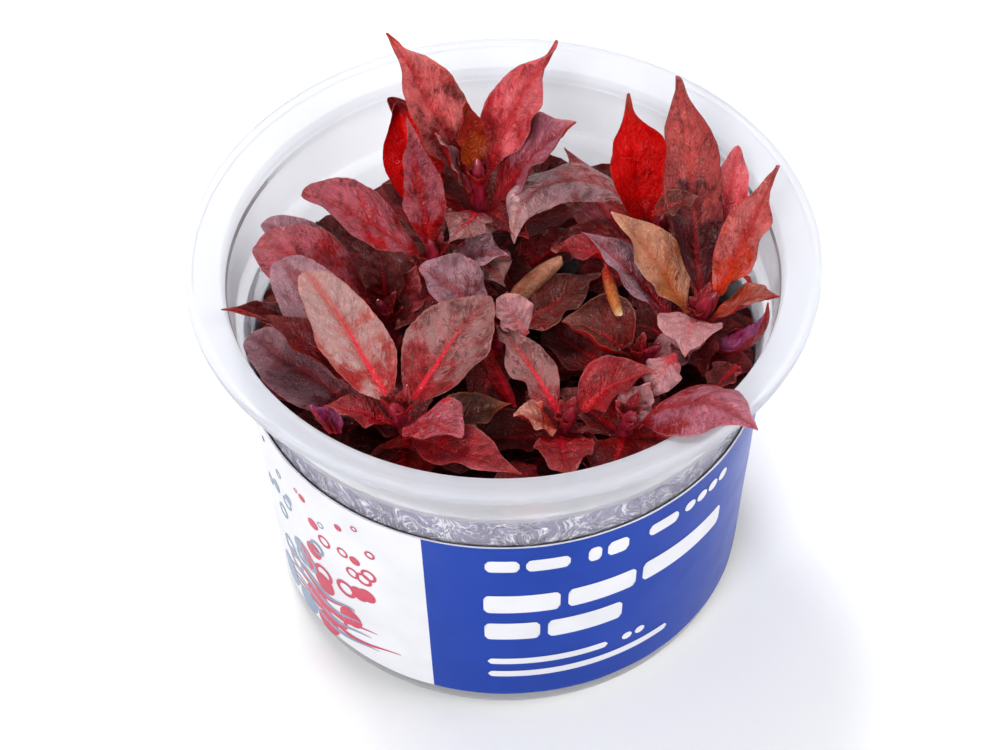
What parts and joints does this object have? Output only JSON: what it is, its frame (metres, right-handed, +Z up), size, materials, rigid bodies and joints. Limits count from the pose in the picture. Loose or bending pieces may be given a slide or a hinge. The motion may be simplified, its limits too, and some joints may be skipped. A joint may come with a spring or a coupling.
{
  "type": "cup of aquarium plants, alternanthera reineckii",
  "caption": "Round clear plastic cup with a wide rim and a plain label band, holding red-leaved aquarium plants that stand on clear growing gel; rests flat on its base.",
  "frame": {"origin": "centre of the cup's flat underside", "axes": "+Z up along the cup's axis, -Y towards the side with the join between the white and the blue part of the label, +X to the right seen from there"},
  "size_m": [0.1, 0.1, 0.0864],
  "materials": {
    "cup_plastic": "clear, slightly milky moulded plastic",
    "label_paper": "printed film label, deep blue with a white part, satin",
    "gel": "clear wet gel",
    "stem": "smooth red plant stem",
    "leaf_mauve": "shiny leaf, grey mauve over red, with a pink midrib",
    "leaf_red": "shiny leaf, bright red",
    "leaf_dark": "shiny leaf, very dark red",
    "leaf_olive": "shiny leaf, brown with an olive cast"
  },
  "bodies": {
    "root": {"cup": "cup_plastic", "gel": "gel", "label": "label_paper", "leaf_back_1": "leaf_red", "leaf_back_2": "leaf_red", "leaf_back_3": "leaf_mauve", "leaf_back_4": "leaf_olive", "leaf_back_5": "leaf_mauve", "leaf_back_6": "leaf_dark", "leaf_back_7": "leaf_dark", "leaf_back_left_1": "leaf_mauve", "leaf_back_left_2": "leaf_mauve", "leaf_back_left_3": "leaf_dark", "leaf_back_right_1": "leaf_red", "leaf_back_right_2": "leaf_mauve", "leaf_back_right_3": "leaf_dark", "leaf_back_right_4": "leaf_dark", "leaf_front_1": "leaf_mauve", "leaf_front_2": "leaf_red", "leaf_front_3": "leaf_red", "leaf_front_4": "leaf_dark", "leaf_front_left_1": "leaf_mauve", "leaf_front_left_2": "leaf_mauve", "leaf_front_left_3": "leaf_mauve", "leaf_front_left_4": "leaf_mauve", "leaf_front_left_5": "leaf_red", "leaf_front_left_6": "leaf_red", "leaf_front_left_7": "leaf_mauve", "leaf_front_left_8": "leaf_olive", "leaf_front_right_1": "leaf_red", "leaf_front_right_2": "leaf_red", "leaf_inner_right_1": "leaf_olive", "leaf_inner_right_2": "leaf_dark", "leaf_left_1": "leaf_mauve", "leaf_left_2": "leaf_olive", "leaf_left_3": "leaf_dark", "leaf_left_4": "leaf_red", "leaf_left_5": "leaf_red", "leaf_middle_1": "leaf_mauve", "leaf_middle_2": "leaf_mauve", "leaf_middle_3": "leaf_olive", "leaf_middle_4": "leaf_dark", "leaf_right_1": "leaf_dark", "leaf_right_2": "leaf_red", "leaf_right_3": "leaf_olive", "leaf_right_4": "leaf_olive", "leaf_right_5": "leaf_mauve", "leaf_right_6": "leaf_red", "leaf_right_7": "leaf_mauve", "stem_back": "stem", "stem_back_left": "stem", "stem_back_right": "stem", "stem_front": "stem", "stem_front_left": "stem", "stem_front_right": "stem", "stem_inner_right": "stem", "stem_left": "stem", "stem_middle": "stem", "stem_right": "stem"}
  },
  "joints": []
}
